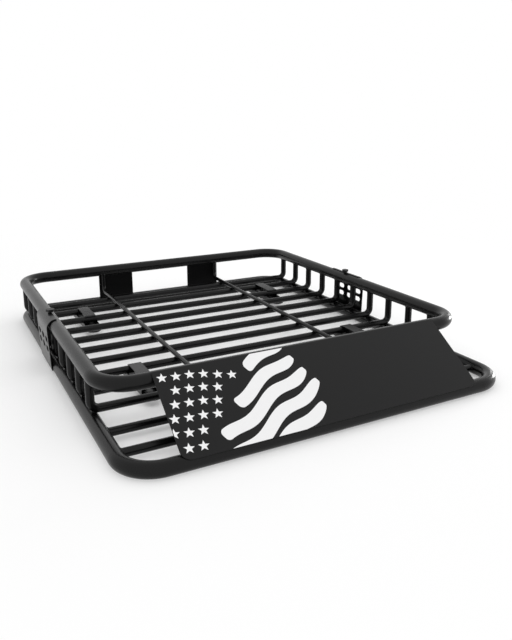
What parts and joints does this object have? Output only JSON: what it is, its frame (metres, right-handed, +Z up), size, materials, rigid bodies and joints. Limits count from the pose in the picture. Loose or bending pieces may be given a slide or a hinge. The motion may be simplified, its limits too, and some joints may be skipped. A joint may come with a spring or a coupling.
{
  "type": "cargo rack",
  "caption": "Open roof basket of bent round tube with a barred floor, a sloped wind fairing across the nose, side joint brackets and mounting clamps.",
  "frame": {"origin": "on the floor, at the middle of the rack's outline", "axes": "+X right, +Y to the rear, away from the fairing, +Z up"},
  "size_m": [0.9274, 1.0984, 0.144],
  "materials": {
    "powder_coat": "satin black powder coat",
    "fairing_coat": "satin black powder coat with white print",
    "fastener": "black oxide steel"
  },
  "bodies": {
    "root": {"fairing": "fairing_coat", "front_left_clamp_base": "powder_coat", "front_left_clamp_bolt_1": "fastener", "front_left_clamp_bolt_2": "fastener", "front_left_clamp_top": "powder_coat", "front_lower_hoop": "powder_coat", "front_right_clamp_base": "powder_coat", "front_right_clamp_bolt_1": "fastener", "front_right_clamp_bolt_2": "fastener", "front_right_clamp_top": "powder_coat", "front_upper_rail": "powder_coat", "left_bracket_bolt": "fastener", "left_front_rod": "powder_coat", "left_rear_plate": "powder_coat", "left_rear_rod": "powder_coat", "left_side_bracket": "powder_coat", "nose_bar_1": "powder_coat", "nose_bar_2": "powder_coat", "rear_left_clamp_base": "powder_coat", "rear_left_clamp_bolt_1": "fastener", "rear_left_clamp_bolt_2": "fastener", "rear_left_clamp_top": "powder_coat", "rear_lower_hoop": "powder_coat", "rear_right_clamp_base": "powder_coat", "rear_right_clamp_bolt_1": "fastener", "rear_right_clamp_bolt_2": "fastener", "rear_right_clamp_top": "powder_coat", "rear_upper_rail": "powder_coat", "right_bracket_bolt": "fastener", "right_front_rod": "powder_coat", "right_rear_plate": "powder_coat", "right_rear_rod": "powder_coat", "right_side_bracket": "powder_coat", "u_bar_01": "powder_coat", "u_bar_02": "powder_coat", "u_bar_03": "powder_coat", "u_bar_04": "powder_coat", "u_bar_05": "powder_coat", "u_bar_06": "powder_coat", "u_bar_07": "powder_coat", "u_bar_08": "powder_coat", "u_bar_09": "powder_coat", "u_bar_10": "powder_coat"}
  },
  "joints": []
}
